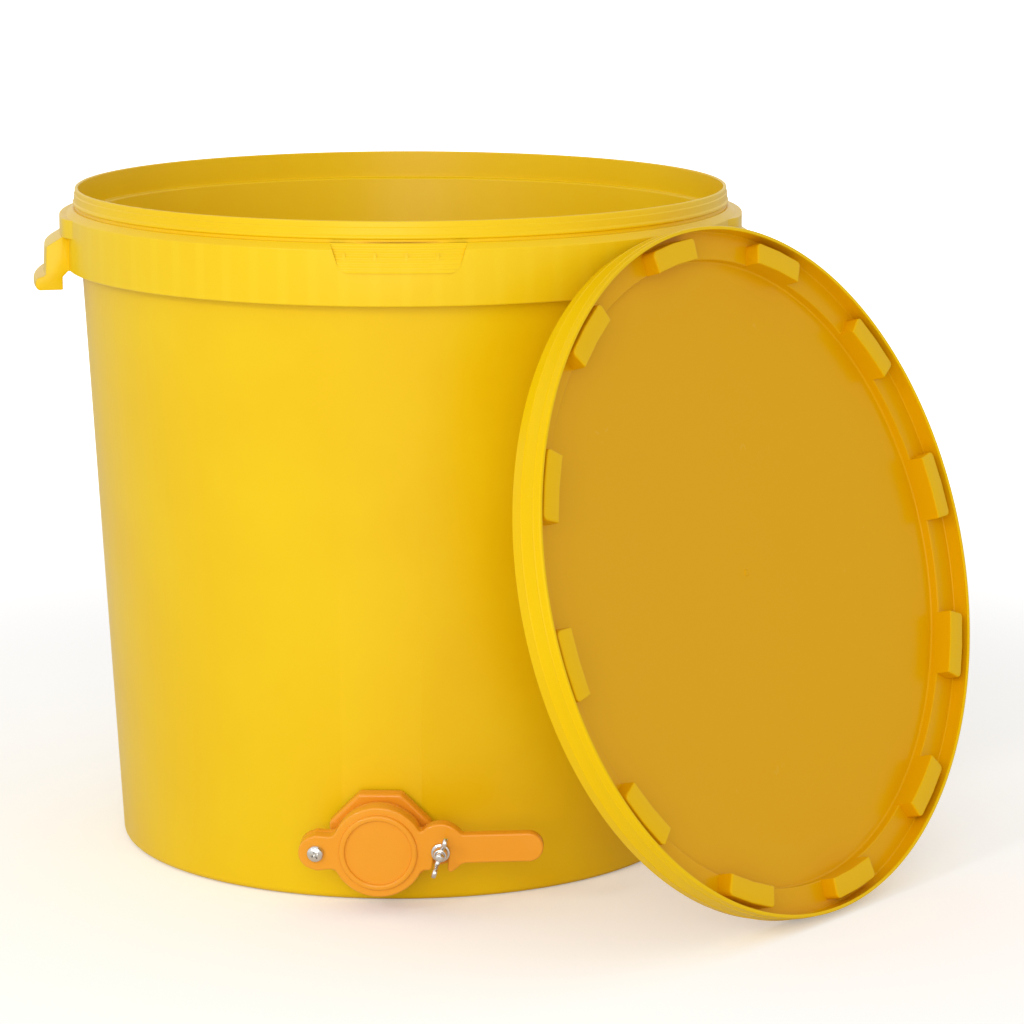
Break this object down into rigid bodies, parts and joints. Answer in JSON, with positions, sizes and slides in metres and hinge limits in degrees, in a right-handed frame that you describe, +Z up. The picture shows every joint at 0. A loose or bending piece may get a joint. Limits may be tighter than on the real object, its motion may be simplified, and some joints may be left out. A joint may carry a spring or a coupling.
{
  "type": "honey tank",
  "caption": "Round plastic honey tank with grip ears, a pivoting outlet gate clamped by a wing nut, and its lid leaning against the collar.",
  "frame": {"origin": "centre of the tank's base, on the floor", "axes": "+Z up, the gate faces -Y (its axis is square to the tapered wall, 3.17 degrees below level), +X to the viewer's right"},
  "size_m": [0.5351, 0.4969, 0.375],
  "materials": {
    "tank_plastic": "semi-gloss moulded polyethylene",
    "lid_plastic": "semi-gloss moulded polyethylene",
    "gate_plastic": "semi-gloss moulded plastic",
    "gasket_rubber": "matt",
    "bright_steel": "bright stainless"
  },
  "bodies": {
    "tank": {"tank_body": "tank_plastic", "lid": "lid_plastic", "gate_body": "gate_plastic", "ring_nut": "gate_plastic", "outer_gasket": "gasket_rubber", "inner_gasket": "gasket_rubber", "face_seal": "gasket_rubber", "pivot_screw": "bright_steel", "pivot_washer": "bright_steel", "pivot_nut": "bright_steel", "clamp_bolt": "bright_steel"},
    "flap": {"gate_flap": "gate_plastic"},
    "wing_nut": {"wing_nut": "bright_steel"}
  },
  "joints": [
    {"name": "flap_swing", "type": "hinge", "parent": "tank", "child": "flap", "pos_m": [-0.0337, -0.18548, 0.03518], "axis": [0, -0.9985, -0.0553], "range_deg": [0, 100]},
    {"name": "wing_nut_turn", "type": "hinge", "parent": "tank", "child": "wing_nut", "pos_m": [0.03368, -0.19385, 0.03624], "axis": [0, -0.9985, -0.0553], "range_deg": [0, 720]}
  ]
}
